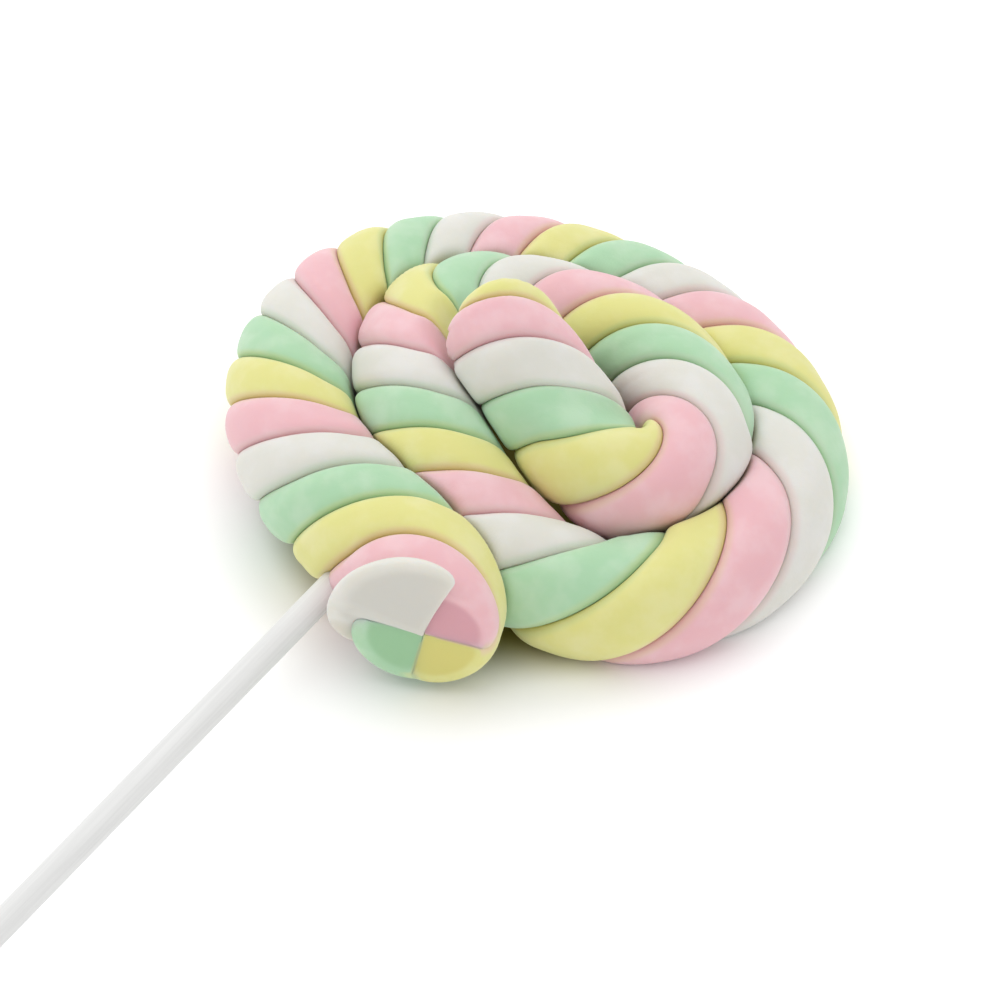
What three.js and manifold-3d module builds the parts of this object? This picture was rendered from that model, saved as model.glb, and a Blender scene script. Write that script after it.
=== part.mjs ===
import * as THREE from 'three';
import Module from 'manifold-3d';
import { mergeVertices } from 'three/addons/utils/BufferGeometryUtils.js';

// A marshmallow lollipop lying down with its shown side up. Four soft strands are twisted into one
// rope. The rope runs out of a short straight arm in the middle, round a tight bend and twice round
// the coil, and is cut off beside the stick, which is pushed in from the edge.
// Millimetres, +Z up, the stick pointing along -Y.

// The rope's path in plan. Headings are in degrees from +X towards +Y, and a turned angle counts
// from the arm's heading. Each pair below is [turned angle, bend radius].
const ARM_TIP = { x: -7.4, y: -8 };
const ARM_HEADING = -15.5;
const ARM_LENGTH = 23.5;
const COIL_TURN = 716;
const BEND_RADII = [
  [0, 15.5],
  [60, 8],
  [110, 8],
  [160, 28],
  [220, 25.5],
  [275, 9.5],
  [345, 45],
  [405, 18.5],
  [460, 32],
  [520, 36],
  [580, 45],
  [650, 28.5],
  [715, 37],
];
const TAIL_LENGTH = 17;
const HOOK_TURN = -44.5;
const HOOK_LENGTH = 17.5;
const PATH_STEP = 0.1;

// What changes along the rope, as [share of its length from the arm's tip, value]: the height of
// its middle line, its radius, and the length over which a strand goes once round it.
const ROPE_HEIGHTS = [
  [0, 27.5],
  [0.1, 14],
  [0.2, 12.5],
  [0.3, 17.5],
  [0.45, 6.5],
  [0.6, 4],
  [0.8, 12.5],
  [1, 13],
];
const ROPE_RADII = [
  [0, 9.7],
  [0.2, 9.5],
  [0.4, 9.6],
  [0.6, 9.8],
  [0.8, 9.7],
  [1, 11.9],
];
const TWIST_LEADS = [
  [0, 30.5],
  [1 / 6, 40.5],
  [2 / 6, 29.5],
  [3 / 6, 62],
  [4 / 6, 34],
  [5 / 6, 31.5],
  [1, 40],
];

// The strands, in their order round the rope. endAngle is a strand's middle at the cut end, from
// the rope's outer side up over its top. reach is how far the strand stands out of the cut, as a
// soft lobe, and swell is how much fatter it is there.
const STRANDS = [
  { name: 'strand_white', colour: 0xe4e3db, endAngle: 57.5, reach: 1.6, swell: 4 },
  { name: 'strand_pink', colour: 0xf0bcc6, endAngle: 147.5, reach: 0, swell: 0 },
  { name: 'strand_yellow', colour: 0xe9e59a, endAngle: 237.5, reach: 0, swell: 0 },
  { name: 'strand_green', colour: 0xb4dfb8, endAngle: 327.5, reach: 0, swell: 0 },
];
const STRAND_SHARE = 90;
const STRAND_GAP = 0.32;
const SHOULDER_RADIUS = 3;
const TIP_ROUNDING = 6;
const CUT_ROUNDING = 2.2;
const SWELL_LENGTH = 9.5;
const LOBE_MIDDLE = 0.55;
const LOBE_TAPER = 0.88;

// Turns that nearly touch swell to meet, where they touch they press each other flat, and the
// lowest turn is flat on the table.
const TURN_GAP = 0.4;
const MEETING_SWELL = 1.6;
const MEETING_DISTANCE = 2.5;
const PRESS_SOFTNESS = 0.6;
const NEAREST_TURN = 7;
const WHOLE_TURN = 45;
const LEAST_SHARE = 0.05;

// The stick
const STICK_RADIUS = 2.2;
const STICK_X = -1.9;
const STICK_HEIGHT = 10.5;
const STICK_OUTER_Y = -160;
const STICK_INNER_Y = -27;
const STICK_CLEARANCE = 0.3;
const STICK_SIDES = 20;
const STICK_COLOUR = 0xdfdfdf;

// How finely the strands are cut into faces, and how closely the other turns are looked at
const STATION_STEP = 2.55;
const ROUNDING_STEPS = 4;
const SHOULDER_STEPS = 3;
const TURN_STEP = 3;

const wasm = await Module();
wasm.setup();

const radians = THREE.MathUtils.degToRad;
const degrees = THREE.MathUtils.radToDeg;

// The value at a place, going smoothly from one [place, value] pair to the next.
function between(pairs, place) {
  const next = pairs.findIndex((pair) => pair[0] > place);
  if (next === 0) return pairs[0][1];
  if (next < 0) return pairs[pairs.length - 1][1];
  const [start, low] = pairs[next - 1];
  const [end, high] = pairs[next];
  return low + (high - low) * THREE.MathUtils.smoothstep(place, start, end);
}

// The rope's middle line as closely spaced marks, each with its place, heading and distance along
// the rope. It runs on past the cut end as far as the longest strand.
function layRope() {
  const legs = [
    { length: ARM_LENGTH, bendPerMm: () => 0 },
    { turn: COIL_TURN, bendPerMm: (turned) => degrees(1 / between(BEND_RADII, turned)) },
    { length: TAIL_LENGTH, bendPerMm: () => 0 },
    { length: HOOK_LENGTH, bendPerMm: () => HOOK_TURN / HOOK_LENGTH },
  ];
  const marks = [];
  const at = new THREE.Vector2(ARM_TIP.x, ARM_TIP.y);
  let along = 0;
  let heading = ARM_HEADING;
  const stepOn = (bend) => {
    marks.push({ along, heading, x: at.x, y: at.y });
    at.x += PATH_STEP * Math.cos(radians(heading));
    at.y += PATH_STEP * Math.sin(radians(heading));
    heading += bend * PATH_STEP;
    along += PATH_STEP;
  };
  for (const leg of legs) {
    const startAlong = along;
    const startHeading = heading;
    const done = () =>
      leg.turn ? heading - startHeading >= leg.turn : along - startAlong >= leg.length;
    while (!done()) stepOn(leg.bendPerMm(heading - startHeading));
  }
  const length = along;
  const longest = Math.max(...STRANDS.map((strand) => strand.reach));
  while (along < length + longest + PATH_STEP) stepOn(0);
  return { marks, length };
}

const { marks, length: ROPE_LENGTH } = layRope();

// The degrees that the strands turn round the rope between each mark and the cut end.
function twistBeforeCut() {
  const twist = new Array(marks.length).fill(0);
  const cut = marks.findIndex((mark) => mark.along >= ROPE_LENGTH);
  const perStep = (i) => (360 * PATH_STEP) / between(TWIST_LEADS, marks[i].along / ROPE_LENGTH);
  for (let i = cut - 1; i >= 0; i -= 1) twist[i] = twist[i + 1] + perStep(i);
  for (let i = cut + 1; i < marks.length; i += 1) twist[i] = twist[i - 1] - perStep(i);
  return twist;
}

const twistLeft = twistBeforeCut();

// How much an end's rounding takes off the radius at a distance from that end.
function rounded(fromEnd, rounding) {
  const inside = Math.max(rounding - fromEnd, 0);
  return rounding - Math.sqrt(Math.max(rounding ** 2 - inside ** 2, 0));
}

// Everything the strands need to know about the rope at one distance along it.
function ropeAt(along) {
  const i = Math.min(Math.round(along / PATH_STEP), marks.length - 1);
  const share = along / ROPE_LENGTH;
  const heading = radians(marks[i].heading);
  return {
    along,
    middle: new THREE.Vector3(marks[i].x, marks[i].y, between(ROPE_HEIGHTS, share)),
    outward: new THREE.Vector3(Math.sin(heading), -Math.cos(heading), 0),
    radius: between(ROPE_RADII, share) - rounded(along, TIP_ROUNDING),
    twist: twistLeft[i],
  };
}

const UP = new THREE.Vector3(0, 0, 1);
const turnsNearby = [];
for (let along = 0; along <= ROPE_LENGTH; along += TURN_STEP) turnsNearby.push(ropeAt(along));

// How far a point may stand from the rope's middle line before it is in the next turn. Only parts
// of the rope that are far enough away along it count.
function roomTowards(rope, direction, awayAlong) {
  let room = Infinity;
  for (const other of turnsNearby) {
    if (Math.abs(other.along - rope.along) < awayAlong) continue;
    const apart = other.middle.clone().sub(rope.middle);
    const distance = apart.length();
    const facing = direction.dot(apart) / distance;
    if (facing <= 0) continue;
    const share = (rope.radius ** 2 - other.radius ** 2) / (2 * distance);
    room = Math.min(room, (distance / 2 + share - TURN_GAP / 2) / facing);
  }
  return room;
}

// A point of the rope's section, given by its distance and angle from the middle line, pressed
// softly by the next turn and flat by the table.
function pressedPoint(rope, distance, angle) {
  const direction = rope.outward
    .clone()
    .multiplyScalar(Math.cos(angle))
    .addScaledVector(UP, Math.sin(angle));
  const room = roomTowards(rope, direction, NEAREST_TURN);
  const spare = Math.max(roomTowards(rope, direction, WHOLE_TURN) - distance, 0);
  const soft = (value) => Math.exp(-value / PRESS_SOFTNESS);
  let reach = distance + MEETING_SWELL * Math.exp(-((spare / MEETING_DISTANCE) ** 2));
  if (room < Infinity) reach = -PRESS_SOFTNESS * Math.log(soft(reach) + soft(room));
  if (direction.z < 0) reach = Math.min(reach, -rope.middle.z / direction.z);
  reach = Math.max(reach, LEAST_SHARE * distance);
  return rope.middle.clone().addScaledVector(direction, reach);
}

// One strand's outline in the rope's section: a quarter of the rope with round shoulders, drawn in
// towards the strand's own middle by a scale. Each point has a distance from the rope's middle line
// and an angle from the strand's own middle.
function strandOutline(radius, scale) {
  const shoulder = (SHOULDER_RADIUS * radius) / ROPE_RADII[0][1];
  const side = radians(STRAND_SHARE / 2);
  const centre = radius - shoulder;
  const centreAngle = side - Math.asin((shoulder + STRAND_GAP / 2) / centre);
  const points = [new THREE.Vector2(STRAND_GAP / 2 / Math.sin(side), 0)];
  const shoulderPoint = (sign, step) => {
    const full = side + Math.PI / 2;
    const turn = sign * (full - ((full - centreAngle) * step) / SHOULDER_STEPS);
    return new THREE.Vector2(
      centre * Math.cos(centreAngle) + shoulder * Math.cos(turn),
      sign * centre * Math.sin(centreAngle) + shoulder * Math.sin(turn),
    );
  };
  for (let step = 0; step <= SHOULDER_STEPS; step += 1) points.push(shoulderPoint(-1, step));
  points.push(new THREE.Vector2(radius, 0));
  for (let step = SHOULDER_STEPS; step >= 0; step -= 1) points.push(shoulderPoint(1, step));
  const own = new THREE.Vector2(LOBE_MIDDLE * radius, 0);
  return points.map((point) => {
    const drawn = point.sub(own).multiplyScalar(scale).add(own);
    return { distance: drawn.length(), angle: drawn.angle() };
  });
}

// The scale that domes a lobe standing out of the cut.
function lobeScale(along, reach) {
  if (along <= ROPE_LENGTH) return 1;
  return Math.sqrt(1 - LOBE_TAPER * ((along - ROPE_LENGTH) / reach) ** 2);
}

// Evenly spaced distances about so far apart, with the first but not the last.
function spaced(from, to, step) {
  const count = Math.round((to - from) / step);
  return Array.from({ length: count }, (unused, i) => from + ((to - from) * i) / count);
}

// The distances along the rope where a strand's outline is drawn, closer together near the cut and
// in the rounded ends. All strands share them up to the cut.
function stationsFor(strand) {
  const stations = [];
  const easeOut = (step) => 1 - Math.cos((step / ROUNDING_STEPS) * (Math.PI / 2));
  const easeIn = (step) => Math.sin((step / ROUNDING_STEPS) * (Math.PI / 2));
  for (let step = 0; step < ROUNDING_STEPS; step += 1) stations.push(TIP_ROUNDING * easeOut(step));
  const swellStart = ROPE_LENGTH - SWELL_LENGTH;
  const cutStart = ROPE_LENGTH - CUT_ROUNDING;
  stations.push(...spaced(TIP_ROUNDING, swellStart, STATION_STEP));
  stations.push(...spaced(swellStart, cutStart, STATION_STEP / 2));
  for (let step = 0; step <= ROUNDING_STEPS; step += 1) {
    stations.push(cutStart + CUT_ROUNDING * easeIn(step));
  }
  if (strand.reach > 0) {
    for (let step = 1; step <= ROUNDING_STEPS; step += 1) {
      stations.push(ROPE_LENGTH + strand.reach * easeIn(step));
    }
  }
  return stations;
}

// A strand as one closed skin: its outline at every station, joined by quads, with flat ends.
// The quads are split along the twist, but on the flanks and beside them as in the neighbour.
function strandSkin(strand) {
  const stations = stationsFor(strand);
  const vertices = [];
  let sides = 0;
  for (const along of stations) {
    const rope = ropeAt(along);
    const cutRounding = strand.reach > 0 ? 0 : rounded(ROPE_LENGTH - along, CUT_ROUNDING);
    const swell =
      strand.swell * THREE.MathUtils.smoothstep(along, ROPE_LENGTH - SWELL_LENGTH, ROPE_LENGTH);
    const radius = rope.radius + swell - cutRounding;
    const middleAngle = radians(strand.endAngle - rope.twist);
    const outline = strandOutline(radius, lobeScale(along, strand.reach));
    sides = outline.length;
    for (const { distance, angle } of outline) {
      vertices.push(...pressedPoint(rope, distance, middleAngle + angle).toArray());
    }
  }
  const triangles = [];
  const corner = (station, side) => station * sides + (side % sides);
  for (let station = 0; station < stations.length - 1; station += 1) {
    for (let side = 0; side < sides; side += 1) {
      const a = corner(station, side);
      const b = corner(station, side + 1);
      const c = corner(station + 1, side + 1);
      const d = corner(station + 1, side);
      if (side < 2) triangles.push(a, c, b, a, d, c);
      else triangles.push(a, d, b, b, d, c);
    }
  }
  const last = stations.length - 1;
  for (let side = 1; side < sides - 1; side += 1) {
    triangles.push(corner(0, 0), corner(0, side), corner(0, side + 1));
    triangles.push(corner(last, 0), corner(last, side + 1), corner(last, side));
  }
  return { vertices, triangles };
}

function solidFrom(vertices, triangles) {
  const mesh = new wasm.Mesh({
    numProp: 3,
    vertProperties: new Float32Array(vertices),
    triVerts: new Uint32Array(triangles),
  });
  return new wasm.Manifold(mesh);
}

function geometryFrom(solid) {
  const { vertProperties, triVerts } = solid.getMesh();
  const geometry = new THREE.BufferGeometry();
  geometry.setAttribute('position', new THREE.BufferAttribute(vertProperties, 3));
  geometry.setIndex(new THREE.BufferAttribute(triVerts, 1));
  geometry.computeVertexNormals();
  return geometry;
}

// A round rod along Y on the stick's line.
function rodGeometry(radius, fromY, toY) {
  const rod = new THREE.CylinderGeometry(radius, radius, toY - fromY, STICK_SIDES);
  rod.translate(STICK_X, (fromY + toY) / 2, STICK_HEIGHT);
  return rod;
}

function rodSolid(radius, fromY, toY) {
  const rod = rodGeometry(radius, fromY, toY);
  rod.deleteAttribute('normal');
  rod.deleteAttribute('uv');
  const merged = mergeVertices(rod);
  return solidFrom(merged.attributes.position.array, merged.index.array);
}

function strandMesh(strand, bore) {
  const { vertices, triangles } = strandSkin(strand);
  const solid = solidFrom(vertices, triangles).subtract(bore);
  const material = new THREE.MeshStandardMaterial({
    color: strand.colour,
    roughness: 0.95,
    metalness: 0,
  });
  const mesh = new THREE.Mesh(geometryFrom(solid), material);
  mesh.name = strand.name;
  return mesh;
}

function stickMesh() {
  const geometry = rodGeometry(STICK_RADIUS, STICK_OUTER_Y, STICK_INNER_Y);
  const material = new THREE.MeshStandardMaterial({
    color: STICK_COLOUR,
    roughness: 0.45,
    metalness: 0,
  });
  const mesh = new THREE.Mesh(geometry, material);
  mesh.name = 'stick';
  return mesh;
}

const lollipop = new THREE.Group();
const bore = rodSolid(
  STICK_RADIUS + STICK_CLEARANCE,
  STICK_OUTER_Y,
  STICK_INNER_Y + STICK_CLEARANCE,
);
for (const strand of STRANDS) lollipop.add(strandMesh(strand, bore));
lollipop.add(stickMesh());

// The origin is on the table, under the middle of the whole lollipop.
const box = new THREE.Box3().setFromObject(lollipop);
const middle = box.getCenter(new THREE.Vector3());
lollipop.position.set(-middle.x, -middle.y, -box.min.z);

export default lollipop;
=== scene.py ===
import math

import bmesh
import bpy
import numpy as np
from mathutils import Matrix, Vector, noise


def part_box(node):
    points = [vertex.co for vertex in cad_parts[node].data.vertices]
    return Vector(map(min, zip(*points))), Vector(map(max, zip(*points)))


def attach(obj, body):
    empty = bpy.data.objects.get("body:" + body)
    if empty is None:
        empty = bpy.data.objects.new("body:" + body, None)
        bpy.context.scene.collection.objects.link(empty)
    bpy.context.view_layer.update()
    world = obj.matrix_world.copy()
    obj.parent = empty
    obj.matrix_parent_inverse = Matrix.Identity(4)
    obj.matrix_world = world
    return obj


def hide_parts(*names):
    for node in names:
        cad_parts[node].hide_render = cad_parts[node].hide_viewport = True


# A marshmallow lollipop lying on a pale floor: four soft strands twisted into one rope, coiled
# round a raised middle, on a round stick. Sizes are in millimetres and angles in degrees, and MM
# makes metres of them where a piece is put in place.
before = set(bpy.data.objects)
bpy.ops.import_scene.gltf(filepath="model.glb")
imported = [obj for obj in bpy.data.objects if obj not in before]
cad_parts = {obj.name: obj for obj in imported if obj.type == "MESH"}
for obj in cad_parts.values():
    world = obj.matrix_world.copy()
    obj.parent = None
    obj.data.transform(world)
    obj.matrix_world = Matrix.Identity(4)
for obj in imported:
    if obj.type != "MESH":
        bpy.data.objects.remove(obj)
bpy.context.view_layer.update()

MM = 0.001

# The rope's route, the same as that of the frame's strands. It starts at the tip of the arm in the
# middle. Each pair is (turned angle, bend radius).
ARM_TIP = (-7.4, -8)
ARM_HEADING = -15.5
ARM_LENGTH = 23.5
COIL_TURN = 716
BEND_RADII = (
    (0, 15.5), (60, 8), (110, 8), (160, 28), (220, 25.5), (275, 9.5), (345, 45), (405, 18.5),
    (460, 32), (520, 36), (580, 45), (650, 28.5), (715, 37),
)
TAIL_LENGTH = 17
HOOK_TURN = -44.5
HOOK_LENGTH = 17.5
PATH_STEP = 0.1

# What changes along the rope, as (share of its length, value)
ROPE_HEIGHTS = (
    (0, 27.5), (0.1, 14), (0.2, 12.5), (0.3, 17.5), (0.45, 6.5), (0.6, 4), (0.8, 12.5), (1, 13),
)
ROPE_RADII = (
    (0, 9.7), (0.2, 9.5), (0.4, 9.6), (0.6, 9.8), (0.8, 9.7), (1, 11.9),
)
TWIST_LEADS = (
    (0, 30.5), (1 / 6, 40.5), (2 / 6, 29.5), (3 / 6, 62), (4 / 6, 34), (5 / 6, 31.5), (1, 40),
)

# The strands in their order round the rope. end_angle is a strand's middle at the cut end, from the
# rope's outer side up over its top. reach is how far it stands out of the cut, and swell how much
# fatter it is there. The colours are those on screen: on the crown, where it is paler, deep in a
# crease, and on the cut face. The crease and cut colours are darker as painted shade.
STRANDS = (
    {
        "name": "white",
        "end_angle": 57.5,
        "reach": 1.6,
        "swell": 4,
        "crown": (218, 217, 209),
        "pale": (222, 221, 216),
        "crease": (211, 207, 197),
        "cut": (206, 204, 196),
    },
    {
        "name": "pink",
        "end_angle": 147.5,
        "reach": 0,
        "swell": 0,
        "crown": (231, 184, 190),
        "pale": (234, 195, 200),
        "crease": (222, 168, 173),
        "cut": (214, 160, 169),
    },
    {
        "name": "yellow",
        "end_angle": 237.5,
        "reach": 0,
        "swell": 0,
        "crown": (221, 218, 143),
        "pale": (225, 222, 159),
        "crease": (210, 199, 119),
        "cut": (214, 206, 124),
    },
    {
        "name": "green",
        "end_angle": 327.5,
        "reach": 0,
        "swell": 0,
        "crown": (173, 211, 175),
        "pale": (185, 216, 185),
        "crease": (158, 198, 152),
        "cut": (156, 198, 156),
    },
)

# A strand's section: a quarter of the rope with a broad crown and round shoulders that dip into the
# creases beside it, and end there before they are upright. The creases are a share of the rope's
# radius deep, and near the cut a share of that.
HALF_SHARE = 45
STRAND_GAP = 0.02
MOST_GAP = 0.5
CREASE_SHARE = 0.15
CROWN_FLATNESS = 2.6
SHOULDER_END = 0.965
CROWN_STEPS = 34
FLANK_STEPS = 5
APEX_DISTANCE = 0.1
CUT_CREASE = 0.4
CUT_CREASE_LENGTH = 6

# The hand-made unevenness of the strands: how far their edges wander round the rope, in degrees,
# how deep their broad and small dents are, and how far apart in the noise the strands lie
EDGE_WANDER = 4
EDGE_WANDER_LENGTH = 13
BROAD_DENT = 0.3
BROAD_DENT_SIZE = 9
SMALL_DENT = 0.05
SMALL_DENT_SIZE = 3.2
STRAND_SPACING = 50

# How turns press each other and the floor: the gap that they keep, how far they swell to meet, how
# soft the edges of the flat places are, and which parts of the rope count as another turn. A tight
# bend presses itself more softly. Contacts are marked up to a reach, but not those with the arm's
# free tip.
TURN_GAP = 0.12
MEETING_SWELL = 1.1
MEETING_DISTANCE = 2.5
PRESS_SOFTNESS = 0.4
BEND_SOFTNESS = 0.7
NEAREST_TURN = 7
WHOLE_TURN = 45
LEAST_SHARE = 0.05
TURN_STEP = 1
LEAST_FACING = 1e-6
SMOOTHINGS = 3
CONTACT_REACH = 1.2
FREE_TIP = 18

# The ends: the rounded tip of the arm, the soft rim of the cut, and the lobe standing out of it.
# The cut face is closed by ever smaller rings.
TIP_ROUNDING = 6
CUT_ROUNDING = 2.2
SWELL_LENGTH = 9.5
LOBE_MIDDLE = 0.55
RIM_SHARE = 0.3
FACE_EDGE = 0.35
FACE_BORDER = 0.995
RING_STEP = 0.5
ROUNDING_RINGS = 7
FACE_RINGS = 8

# The stick
STICK_X = -1.9
STICK_OUTER_Y = -160
STICK_SIDES = 48
STICK_END_BEVEL = 0.35
BEVEL_STEPS = 3

# The view: the camera's azimuth round the part and its elevation, the width that the picture
# shows, and how many of its pixels its middle is right of and above the start of the rope's plan
CAMERA_AZIMUTH = 34.3
CAMERA_ELEVATION = 45
CAMERA_DISTANCE = 1500
PICTURE_WIDTH = 156.25
PICTURE_PIXELS = 1000
RIGHT_OF_ROUTE_START = -45
ABOVE_ROUTE_START = -70

# The floor, how far from the coil's middle its faint painted glow sets in and its painted shade under
# the sweet ends, the brightness of the room, and the lamp's distance and size in metres and power in
# watts
FLOOR_SIZE = 4000
COIL_MIDDLE = (0, 48, 0)
GLOW_EDGE = (42, 56)
SHADE_EDGE = (30, 42)
FLOOR_GLOW = 0.14
ROOM_BRIGHTNESS = 0.79
LAMP_DISTANCE = 1.2
LAMP_SIZE = 2
LAMP_POWER = 9.5

# How much of the next strand's colour shows at a strand's edge, and from how far across its share
# on, and how strongly the deep olive of painted shade darkens the strands between the turns
COLOUR_BLEED = 0.45
BLEED_START = 0.7
GAP_SHADE_COLOUR = (138, 128, 62)
GAP_SHADE_STRENGTH = 0.6

# The marshmallow's skin, in millimetres: the size of its paler clouds, the grain and relief of its
# fine skin and of the starch on it, and how deep light goes into it
CLOUD_SIZE = 6
SKIN_GRAIN, SKIN_STRENGTH, SKIN_RELIEF = 1.1, 0.35, 0.12
STARCH_GRAIN, STARCH_STRENGTH, STARCH_RELIEF = 0.22, 0.3, 0.04
LIGHT_DEPTH = 3


def between(pairs, place):
    """The value at a place, going smoothly from one (place, value) pair to the next."""
    places, values = np.array(pairs, float).T
    i = np.clip(np.searchsorted(places, place, side="right") - 1, 0, len(places) - 2)
    return values[i] + (values[i + 1] - values[i]) * smooth(place, places[i], places[i + 1])


def smooth(value, start, end):
    """0 before start, 1 after end, and a soft rise between them."""
    share = np.clip((value - start) / (end - start), 0, 1)
    return share * share * (3 - 2 * share)


def lay_rope():
    """The rope's middle line in plan as rows of (distance along, heading, x, y), and its length."""
    rows = []
    along, heading = 0.0, ARM_HEADING
    x, y = ARM_TIP

    def step_on(bend):
        nonlocal along, heading, x, y
        rows.append((along, heading, x, y))
        x += PATH_STEP * math.cos(math.radians(heading))
        y += PATH_STEP * math.sin(math.radians(heading))
        heading += bend * PATH_STEP
        along += PATH_STEP

    while along < ARM_LENGTH:
        step_on(0)
    while heading - ARM_HEADING < COIL_TURN:
        step_on(math.degrees(1 / between(BEND_RADII, heading - ARM_HEADING)))
    hook_start = along + TAIL_LENGTH
    while along < hook_start:
        step_on(0)
    length = hook_start + HOOK_LENGTH
    while along < length:
        step_on(HOOK_TURN / HOOK_LENGTH)
    while along < length + max(strand["reach"] for strand in STRANDS) + PATH_STEP:
        step_on(0)
    return np.array(rows), length


marks, rope_length = lay_rope()
twist_so_far = np.cumsum(360 * PATH_STEP / between(TWIST_LEADS, marks[:, 0] / rope_length))
twist_at_cut = np.interp(rope_length, marks[:, 0], twist_so_far)


def rounded(from_end, rounding):
    """How much an end's rounding takes off the radius at a distance from that end."""
    inside = np.clip(rounding - from_end, 0, rounding)
    return rounding - np.sqrt(rounding ** 2 - inside ** 2)


class Rope:
    """The rope at some distances along it: middle points, ways outward, radii and twists."""

    def __init__(self, along):
        self.along = np.asarray(along, float)
        share = self.along / rope_length
        heading, x, y = (np.interp(self.along, marks[:, 0], marks[:, k]) for k in (1, 2, 3))
        heading = np.radians(heading)
        self.middle = np.stack([x, y, between(ROPE_HEIGHTS, share)], 1)
        self.outward = np.stack([np.sin(heading), -np.cos(heading), np.zeros_like(x)], 1)
        self.radius = between(ROPE_RADII, share) - rounded(self.along, TIP_ROUNDING)
        self.twist = twist_at_cut - np.interp(self.along, marks[:, 0], twist_so_far)


def room_towards(rope, i, ways, nearest, farthest):
    """How far the rope's ring i may reach in some ways before it is in the parts of the rope that
    are so far from it along the rope, and where along the rope those parts are."""
    steps = np.arange(nearest, farthest, TURN_STEP)
    along = rope.along[i] + np.concatenate([-steps, steps])
    turns = Rope(along[(along >= 0) & (along <= rope_length)])
    apart = turns.middle - rope.middle[i]
    distance = np.linalg.norm(apart, axis=1)
    share = (rope.radius[i] ** 2 - turns.radius ** 2) / (2 * distance)
    halfway = distance / 2 + share - TURN_GAP / 2
    facing = ways @ (apart / distance[:, None]).T
    rooms = np.where(facing > 0, halfway / np.maximum(facing, LEAST_FACING), np.inf)
    return rooms.min(1), turns.along[rooms.argmin(1)]


def softly_least(first, second, softness):
    """The smaller of two values, with a soft change between them."""
    return -softness * np.logaddexp(-first / softness, -second / softness)


def press(rope, i, distances, angles):
    """The places of ring i's points, pressed softly by the next turns and flat by the floor, and
    how near each is to the next turn, from 0 to 1. The free tip of the arm doesn't count there."""
    ways = np.cos(angles)[:, None] * rope.outward[i]
    ways[:, 2] = np.sin(angles)
    in_bend, _ = room_towards(rope, i, ways, NEAREST_TURN, WHOLE_TURN)
    room, pressed_by = room_towards(rope, i, ways, WHOLE_TURN, rope_length)
    spare = np.maximum(room - distances, 0)
    reach = distances + MEETING_SWELL * np.exp(-((spare / MEETING_DISTANCE) ** 2))
    reach = softly_least(softly_least(reach, room, PRESS_SOFTNESS), in_bend, BEND_SOFTNESS)
    downwards = -ways[:, 2]
    above_floor = rope.middle[i][2] / np.maximum(downwards, LEAST_FACING)
    reach = np.where(downwards > 0, np.minimum(reach, above_floor), reach)
    reach = np.maximum(reach, LEAST_SHARE * distances)
    nearness = (1 - smooth(spare, 0, CONTACT_REACH)) * smooth(pressed_by, 0, FREE_TIP)
    return rope.middle[i] + ways * reach[:, None], nearness


def strand_section():
    """A strand's outline for a rope of radius 1: how far across its share each point is, from -1 to
    1, and how deep towards the crease, from 0 to 1, then on down the flanks to the middle."""
    t = np.linspace(-math.pi / 2, math.pi / 2, CROWN_STEPS + 1)
    across = np.sin(t)
    crown = (1 - np.abs(SHOULDER_END * across) ** CROWN_FLATNESS) ** (1 / CROWN_FLATNESS)
    dip = (1 - crown) / (1 - crown[0])
    down = np.arange(1, FLANK_STEPS + 1) / FLANK_STEPS
    across = np.concatenate([across, np.ones(FLANK_STEPS), -np.ones(FLANK_STEPS - 1)])
    dip = np.concatenate([dip, np.ones(2 * FLANK_STEPS - 1)])
    down = np.concatenate([np.zeros(CROWN_STEPS + 1), down, down[-2::-1]])
    return across, dip, down


ACROSS, DIP, DOWN = strand_section()


def strand_rings(reach):
    """The rings of a strand as (distance along the rope, scale of the section). The last ones close
    the cut face, behind a round rim where the strand reaches out of the cut."""
    leans = [math.pi / 2 * k / ROUNDING_RINGS for k in range(ROUNDING_RINGS + 1)]
    rings = [(TIP_ROUNDING * (1 - math.cos(lean)), 1) for lean in leans[:-1]]
    body_end = rope_length - CUT_ROUNDING
    count = round((body_end - TIP_ROUNDING) / RING_STEP)
    rings += [(along, 1) for along in np.linspace(TIP_ROUNDING, body_end, count)]
    rings += [(body_end + CUT_ROUNDING * math.sin(lean), 1) for lean in leans[1:]]
    face_scale = 1
    if reach > 0:
        face_scale -= RIM_SHARE
        for lean in leans[1:]:
            rim_scale = 1 - RIM_SHARE * (1 - math.cos(lean))
            rings.append((rope_length + reach * math.sin(lean), rim_scale))
    rings.append((rope_length + reach, face_scale * FACE_BORDER))
    for k in range(1, FACE_RINGS + 1):
        rings.append((rope_length + reach, face_scale * (1 - k / (FACE_RINGS + 1))))
    return rings


def wander(edge, along):
    """How far the edge before a strand has wandered round the rope at a distance along it."""
    place = Vector((along / EDGE_WANDER_LENGTH, STRAND_SPACING * (edge % len(STRANDS)), 0))
    return math.radians(EDGE_WANDER) * noise.noise(place)


def dents(order, along, angles, radius):
    """The dents in a strand's crown at one ring."""
    depths = []
    for angle in angles:
        place = Vector((radius * math.cos(angle), radius * math.sin(angle), along))
        place.x += STRAND_SPACING * order
        broad = BROAD_DENT * noise.noise(place / BROAD_DENT_SIZE)
        depths.append(broad + SMALL_DENT * noise.noise(place / SMALL_DENT_SIZE))
    return np.array(depths)


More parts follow.
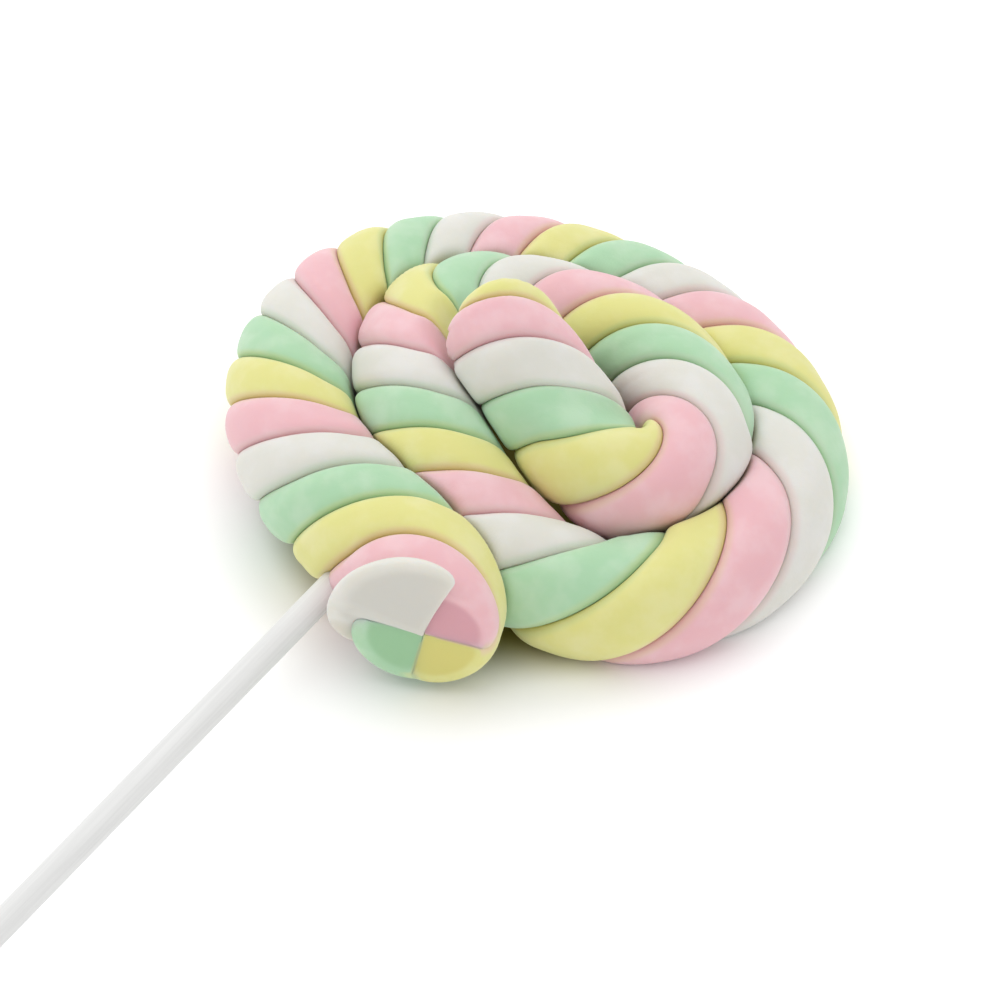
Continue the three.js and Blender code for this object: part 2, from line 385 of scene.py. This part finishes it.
def shape_ring(rope, i, order, scale):
    """The places of ring i of a strand, and each point's marks: how deep it lies in a crease and in
    a contact, how much it belongs to the cut face, and how far across the strand it is."""
    strand = STRANDS[order]
    along = rope.along[i]
    radius = rope.radius[i]
    radius += strand["swell"] * smooth(along, rope_length - SWELL_LENGTH, rope_length)
    if strand["reach"] == 0:
        radius -= rounded(rope_length - along, CUT_ROUNDING)
    near_cut = smooth(along, rope_length - CUT_CREASE_LENGTH, rope_length)
    crease_bottom = radius * (1 - CREASE_SHARE * (1 + (CUT_CREASE - 1) * near_cut))
    distances = radius - (radius - crease_bottom) * DIP
    distances += (APEX_DISTANCE - crease_bottom) * DOWN
    half = math.radians(HALF_SHARE)
    low, high = -half + wander(order, along), half + wander(order + 1, along)
    angles = low + (high - low) * (ACROSS + 1) / 2
    gap = STRAND_GAP * (1 - near_cut)
    angles -= ACROSS * np.arcsin(np.minimum(gap / 2 / distances, MOST_GAP))
    distances += dents(order, along, angles, radius) * (1 - DIP)
    own = LOBE_MIDDLE * radius
    outward = own + scale * (distances * np.cos(angles) - own)
    sideways = scale * distances * np.sin(angles)
    turned = math.radians(strand["end_angle"] - rope.twist[i]) + np.arctan2(sideways, outward)
    places, nearness = press(rope, i, np.hypot(sideways, outward), turned)
    at_cut = smooth(along, rope_length - CUT_ROUNDING, rope_length)
    bleeding = scale ** 3 if strand["reach"] == 0 else 1 - near_cut
    marks_of = {
        "crease": DIP * (1 - at_cut),
        "contact": nearness * (1 - at_cut),
        "cut": np.where(DOWN > 0, at_cut, smooth(1 - scale, 0, FACE_EDGE)),
        "across": ACROSS * bleeding,
    }
    return places, marks_of


def finished(name, bm, material, nodes):
    """The bmesh as a smooth piece in place of the frame's nodes."""
    mesh = bpy.data.meshes.new(name)
    bm.to_mesh(mesh)
    bm.free()
    mesh.shade_smooth()
    mesh.materials.append(material)
    piece = bpy.data.objects.new(name, mesh)
    bpy.context.scene.collection.objects.link(piece)
    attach(piece, "root")
    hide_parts(*nodes)
    return piece


def soften(bm, contact, cut):
    """Soften a strand's skin away from its cut face, and the edges of its marks of contact."""
    soft = [corner for corner in bm.verts if corner[cut] == 0]
    all_ways = {"use_axis_x": True, "use_axis_y": True, "use_axis_z": True}
    for _ in range(SMOOTHINGS):
        bmesh.ops.smooth_vert(bm, verts=soft, factor=0.5, **all_ways)
        for corner in soft:
            near = [edge.other_vert(corner)[contact] for edge in corner.link_edges]
            corner[contact] = (corner[contact] + sum(near) / len(near)) / 2


def make_strand(order, shift, material):
    """One strand: a ring drawn out into a straight tube, then twisted, coiled, pressed and closed."""
    strand = STRANDS[order]
    rings = strand_rings(strand["reach"])
    rope = Rope([along for along, scale in rings])
    shapes = [shape_ring(rope, i, order, scale) for i, (along, scale) in enumerate(rings)]
    bm = bmesh.new()
    bmesh.ops.create_circle(bm, segments=len(ACROSS), radius=1)
    outline = bm.verts[:] + bm.edges[:]
    upwards = (0, 0, 1)
    bmesh.ops.spin(bm, geom=outline, axis=upwards, dvec=upwards, angle=0, steps=len(rings) - 1)
    layers = {name: bm.verts.layers.float.new(name) for name in shapes[0][1]}
    step = 2 * math.pi / len(ACROSS)
    for corner in bm.verts:
        places, marks_of = shapes[round(corner.co.z)]
        side = round(math.atan2(corner.co.x, corner.co.y) / step) % len(ACROSS)
        corner.co = Vector(places[side]) * MM + shift
        for name, layer in layers.items():
            corner[layer] = marks_of[name][side]
    soften(bm, layers["contact"], layers["cut"])
    bmesh.ops.holes_fill(bm, edges=[edge for edge in bm.edges if edge.is_boundary], sides=0)
    bmesh.ops.recalc_face_normals(bm, faces=bm.faces)
    return finished(
        "marshmallow_" + strand["name"],
        bm,
        material,
        ["strand_" + strand["name"]],
    )


def make_stick(low, high, material):
    """The round stick, with a narrow bevel round its ends."""
    radius = (high.x - low.x) / 2
    bm = bmesh.new()
    upright = Matrix.Rotation(math.pi / 2, 4, "X")
    bmesh.ops.create_cone(
        bm,
        cap_ends=True,
        segments=STICK_SIDES,
        radius1=radius,
        radius2=radius,
        depth=high.y - low.y,
        matrix=Matrix.Translation((low + high) / 2) @ upright,
    )
    rims = [edge for edge in bm.edges if any(len(face.verts) > 4 for face in edge.link_faces)]
    bmesh.ops.bevel(
        bm,
        geom=rims,
        affect="EDGES",
        offset=STICK_END_BEVEL * MM,
        segments=BEVEL_STEPS,
        profile=0.5,
        material=-1,
    )
    return finished("lolly_stick", bm, material, ["stick"])


class Finish:
    """A material's node tree, with short ways to add the nodes that its finish needs."""

    def __init__(self, name, roughness):
        self.material = bpy.data.materials.new(name)
        self.material.use_nodes = True
        self.tree = self.material.node_tree
        self.shader = self.tree.nodes["Principled BSDF"]
        self.shader.inputs["Roughness"].default_value = roughness
        self.place = self.tree.nodes.new("ShaderNodeTexCoord").outputs["Object"]

    def link(self, start, end):
        self.tree.links.new(start, end)

    def speckle(self, size, detail=3.0, stretch=(1, 1, 1)):
        """A soft random pattern whose grains are about so many millimetres."""
        squeeze = self.tree.nodes.new("ShaderNodeMapping")
        squeeze.inputs["Scale"].default_value = stretch
        self.link(self.place, squeeze.inputs["Vector"])
        pattern = self.tree.nodes.new("ShaderNodeTexNoise")
        pattern.inputs["Scale"].default_value = 1 / (size * MM)
        pattern.inputs["Detail"].default_value = detail
        self.link(squeeze.outputs["Vector"], pattern.inputs["Vector"])
        return pattern.outputs["Fac"]

    def away_from(self, middle, near, far, start, end):
        """A value that goes from start to end between a near and a far distance from a place."""
        apart = self.tree.nodes.new("ShaderNodeVectorMath")
        apart.operation = "DISTANCE"
        self.link(self.place, apart.inputs[0])
        apart.inputs[1].default_value = Vector(middle) * MM
        return self.range(apart.outputs["Value"], near * MM, far * MM, start, end)

    def attribute(self, name):
        """A value that the shape carries at its points."""
        reader = self.tree.nodes.new("ShaderNodeAttribute")
        reader.attribute_name = name
        return reader.outputs["Fac"]

    def range(self, value, low, high, start=0.0, end=1.0):
        """The value spread from low..high to start..end, softly and clamped."""
        spread = self.tree.nodes.new("ShaderNodeMapRange")
        spread.interpolation_type = "SMOOTHSTEP"
        ends = {"From Min": low, "From Max": high, "To Min": start, "To Max": end}
        for name, number in ends.items():
            spread.inputs[name].default_value = number
        self.link(value, spread.inputs["Value"])
        return spread.outputs["Result"]

    def mix(self, amount, first, second):
        """A colour between two, each of them a colour or a socket."""
        blend = self.tree.nodes.new("ShaderNodeMix")
        blend.data_type = "RGBA"
        self.link(amount, blend.inputs["Factor"])
        for name, colour in (("A", first), ("B", second)):
            socket = next(s for s in blend.inputs if s.name == name and s.type == "RGBA")
            if isinstance(colour, bpy.types.NodeSocket):
                self.link(colour, socket)
            else:
                socket.default_value = (*colour, 1)
        return next(s for s in blend.outputs if s.type == "RGBA")

    def bump(self, height, strength, depth, before=None):
        """Relief of a depth in millimetres."""
        relief = self.tree.nodes.new("ShaderNodeBump")
        relief.inputs["Strength"].default_value = strength
        relief.inputs["Distance"].default_value = depth * MM
        self.link(height, relief.inputs["Height"])
        if before is not None:
            self.link(before, relief.inputs["Normal"])
        return relief.outputs["Normal"]


def linear(red, green, blue):
    """A colour given as it looks on screen, from 0 to 255, as the shader needs it."""
    shares = [value / 255 for value in (red, green, blue)]
    return [s / 12.92 if s <= 0.04045 else ((s + 0.055) / 1.055) ** 2.4 for s in shares]


def marshmallow(name, crown, pale, crease, cut, before, after):
    """Soft, matt and a little translucent marshmallow, dusted with starch: its crown colour clouds
    over to a paler one, takes a little of the next strands' colours at its edges, and is darkened by
    painted shade in the creases, between the turns and on the cut face."""
    finish = Finish("marshmallow_" + name, roughness=0.8)
    clouds = finish.range(finish.speckle(CLOUD_SIZE), 0.4, 0.7)
    colour = finish.mix(clouds, linear(*crown), linear(*pale))
    # Painted shade: the cut face takes its darker cut colour.
    colour = finish.mix(finish.range(finish.attribute("cut"), 0, 1), colour, linear(*cut))
    across = finish.attribute("across")
    for side, neighbour in ((-1, before), (1, after)):
        bleeding = finish.range(across, side * BLEED_START, side, 0, COLOUR_BLEED)
        colour = finish.mix(bleeding, colour, linear(*neighbour))
    # Painted shade: the crease colour darkens the strand deep in its creases.
    in_crease = finish.range(finish.attribute("crease"), 0.25, 1.0)
    colour = finish.mix(in_crease, colour, linear(*crease))
    # Painted shade: deep olive where the strand lies close against the next turn.
    gap_shade = finish.range(finish.attribute("contact"), 0.2, 1.0, 0, GAP_SHADE_STRENGTH)
    colour = finish.mix(gap_shade, colour, linear(*GAP_SHADE_COLOUR))
    finish.link(colour, finish.shader.inputs["Base Color"])
    skin = finish.bump(finish.speckle(SKIN_GRAIN), SKIN_STRENGTH, SKIN_RELIEF)
    grains = finish.speckle(STARCH_GRAIN, detail=2.0)
    starch = finish.bump(grains, STARCH_STRENGTH, STARCH_RELIEF, skin)
    finish.link(starch, finish.shader.inputs["Normal"])
    finish.shader.inputs["Subsurface Weight"].default_value = 0.5
    finish.shader.inputs["Subsurface Radius"].default_value = (1.0, 0.8, 0.6)
    finish.shader.inputs["Subsurface Scale"].default_value = LIGHT_DEPTH * MM
    finish.shader.inputs["Specular IOR Level"].default_value = 0.25
    finish.shader.inputs["Sheen Weight"].default_value = 0.12
    finish.shader.inputs["Sheen Roughness"].default_value = 0.5
    return finish.material


def white_stick():
    """Smooth white stick with faint streaks along it."""
    finish = Finish("white_stick", roughness=0.6)
    streaks = finish.speckle(0.5, stretch=(1, 0.02, 1))
    paler = finish.range(streaks, 0.35, 0.65)
    colour = finish.mix(paler, linear(222, 222, 221), linear(228, 228, 227))
    finish.link(colour, finish.shader.inputs["Base Color"])
    finish.link(finish.bump(streaks, 0.15, 0.03), finish.shader.inputs["Normal"])
    return finish.material


def pale_floor():
    """A plain pale floor with a faint painted glow that fades out near the sweet. Hidden under the
    sweet it has no glow and takes on the deep olive that shows in the gaps between the turns: painted
    shade."""
    finish = Finish("pale_floor", roughness=0.9)
    paler = finish.range(finish.speckle(200), 0.3, 0.7)
    colour = finish.mix(paler, linear(250, 250, 250), linear(252, 252, 252))
    # Painted shade: under the sweet the floor turns deep olive.
    under = finish.away_from(COIL_MIDDLE, *SHADE_EDGE, 1, 0)
    colour = finish.mix(under, colour, linear(*GAP_SHADE_COLOUR))
    finish.link(colour, finish.shader.inputs["Base Color"])
    finish.shader.inputs["Specular IOR Level"].default_value = 0.1
    finish.shader.inputs["Emission Color"].default_value = (1, 1, 1, 1)
    # Painted glow: the floor glows away from the sweet and not near it.
    glow = finish.away_from(COIL_MIDDLE, *GLOW_EDGE, 0, FLOOR_GLOW)
    finish.link(glow, finish.shader.inputs["Emission Strength"])
    return finish.material


def lay_floor():
    """The flat floor under the sweet and far round it."""
    bm = bmesh.new()
    bmesh.ops.create_grid(bm, x_segments=1, y_segments=1, size=FLOOR_SIZE / 2 * MM)
    mesh = bpy.data.meshes.new("floor")
    bm.to_mesh(mesh)
    bm.free()
    mesh.materials.append(pale_floor())
    floor = bpy.data.objects.new("floor", mesh)
    bpy.context.scene.collection.objects.link(floor)


def camera_ways():
    """The picture's ways right and up, and the way from the part back to the camera."""
    azimuth, elevation = math.radians(CAMERA_AZIMUTH), math.radians(CAMERA_ELEVATION)
    right = Vector((math.cos(azimuth), math.sin(azimuth), 0))
    level = Vector((math.sin(azimuth), -math.cos(azimuth), 0))
    back = level * math.cos(elevation) + Vector((0, 0, math.sin(elevation)))
    return right, back.cross(right), back


def place_camera(shift):
    """The camera, looking at a place beside the start of the rope's route, which shift gives."""
    right, up, back = camera_ways()
    pixel = PICTURE_WIDTH / PICTURE_PIXELS * MM
    aim = (right * RIGHT_OF_ROUTE_START + up * ABOVE_ROUTE_START) * pixel + shift
    camera = bpy.data.objects.new("camera", bpy.data.cameras.new("camera"))
    camera.data.lens = camera.data.sensor_width * CAMERA_DISTANCE / PICTURE_WIDTH
    camera.data.clip_end = 3 * CAMERA_DISTANCE * MM
    turned = Matrix((right, up, back)).transposed().to_4x4()
    camera.matrix_world = Matrix.Translation(aim + back * CAMERA_DISTANCE * MM) @ turned
    bpy.context.scene.collection.objects.link(camera)
    bpy.context.scene.camera = camera


def light_studio():
    """A bright even room and a large soft lamp above the part and facing it, a little behind and
    left of the picture."""
    right, up, _ = camera_ways()
    world = bpy.data.worlds.new("studio")
    bpy.context.scene.world = world
    world.use_nodes = True
    room = world.node_tree.nodes["Background"].inputs
    room["Color"].default_value = (1, 1, 1, 1)
    room["Strength"].default_value = ROOM_BRIGHTNESS
    way = Vector((0, 0, 1)) + 0.9 * up - 0.3 * right
    lamp = bpy.data.lights.new("overhead_lamp", "AREA")
    lamp.size = LAMP_SIZE
    lamp.energy = LAMP_POWER
    light = bpy.data.objects.new("overhead_lamp", lamp)
    light.location = way.normalized() * LAMP_DISTANCE
    light.rotation_mode = "QUATERNION"
    light.rotation_quaternion = way.to_track_quat("Z", "Y")
    bpy.context.scene.collection.objects.link(light)
    bpy.context.scene.view_settings.view_transform = "Standard"


# The frame's stick tells where the rope's route lies
stick_low, stick_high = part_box("stick")
stick_middle_x = (stick_low.x + stick_high.x) / 2
route_start = Vector((stick_middle_x - STICK_X * MM, stick_low.y - STICK_OUTER_Y * MM, 0))

for order, strand in enumerate(STRANDS):
    before, after = (STRANDS[(order + way) % len(STRANDS)]["crown"] for way in (-1, 1))
    colours = [strand[part] for part in ("crown", "pale", "crease", "cut")]
    make_strand(order, route_start, marshmallow(strand["name"], *colours, before, after))
make_stick(stick_low, stick_high, white_stick())
lay_floor()
place_camera(route_start)
light_studio()
